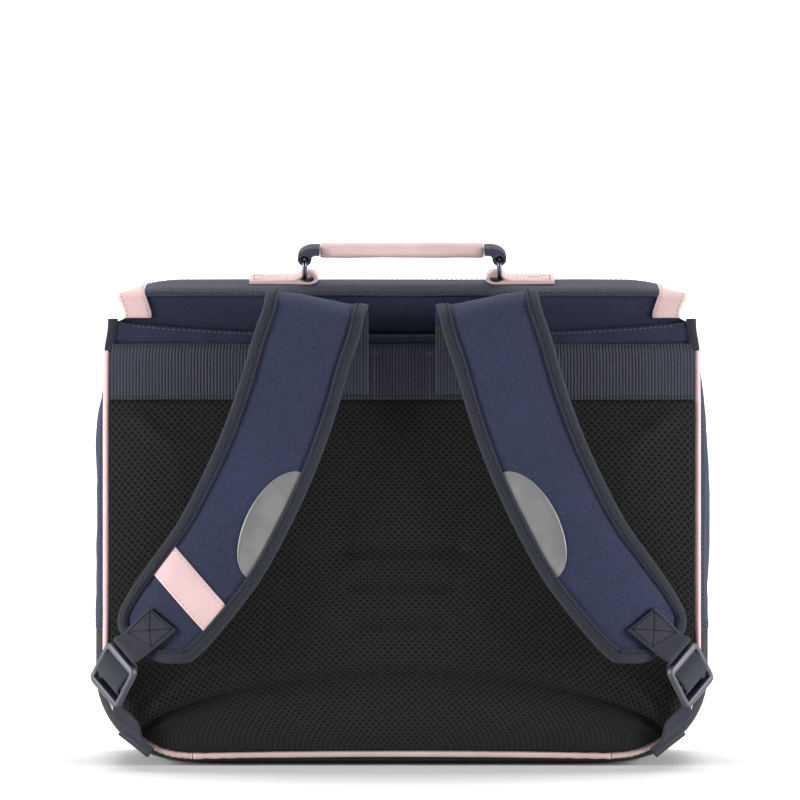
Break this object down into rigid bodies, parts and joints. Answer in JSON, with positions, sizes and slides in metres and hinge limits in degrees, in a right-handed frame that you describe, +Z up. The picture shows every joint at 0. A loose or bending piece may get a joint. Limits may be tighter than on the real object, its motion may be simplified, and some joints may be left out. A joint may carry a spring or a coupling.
{
  "type": "school satchel backpack",
  "caption": "Stiff school satchel worn on the back, with a hinged cloth lid, padded shoulder straps, ladder buckles, a rolled carrying handle and a padded mesh back.",
  "frame": {"origin": "middle of the bag's outer box in X and Y, on the surface that it stands on", "axes": "+Z up; the side with the shoulder straps faces -Y, and seen from there +X is to the right"},
  "size_m": [0.4206, 0.2208, 0.3537],
  "materials": {
    "navy_fabric": "navy woven polyester, matt",
    "strap_fabric": "navy twill over padding, matt",
    "black_fabric": "black coated base fabric",
    "black_mesh": "black spacer mesh with small oval holes",
    "grey_webbing": "dark grey-blue ribbed webbing",
    "grey_binding": "dark grey twill binding tape",
    "pink_leather": "pale pink synthetic leather, satin",
    "silver_reflector": "grey reflective sheet, softly shiny",
    "gunmetal": "dark polished metal",
    "dark_plastic": "dark grey moulded plastic"
  },
  "bodies": {
    "root": {"gusset_left": "navy_fabric", "gusset_right": "navy_fabric", "base_panel": "black_fabric", "front_panel": "navy_fabric", "back_panel": "navy_fabric", "back_mesh_pad": "black_mesh", "back_webbing": "grey_webbing", "piping_left": "pink_leather", "piping_right": "pink_leather", "piping_bottom": "pink_leather", "lid": "navy_fabric", "lid_trim_left": "pink_leather", "lid_trim_right": "pink_leather", "lid_webbing": "grey_webbing", "handle_tab_left": "pink_leather", "handle_tab_right": "pink_leather", "handle_loop_left": "grey_webbing", "handle_loop_right": "grey_webbing", "handle_ring_left": "gunmetal", "handle_ring_right": "gunmetal", "handle_grip": "pink_leather", "strap_left": "strap_fabric", "strap_right": "strap_fabric", "strap_binding_left": "grey_binding", "strap_binding_right": "grey_binding", "reflector_left": "silver_reflector", "reflector_right": "silver_reflector", "strap_patch_left": "pink_leather", "strap_tab_left": "grey_webbing", "strap_tab_right": "grey_webbing", "lower_webbing_left": "grey_webbing", "lower_webbing_right": "grey_webbing", "buckle_left": "dark_plastic", "buckle_right": "dark_plastic", "clasp_left": "dark_plastic", "clasp_right": "dark_plastic"}
  },
  "joints": []
}
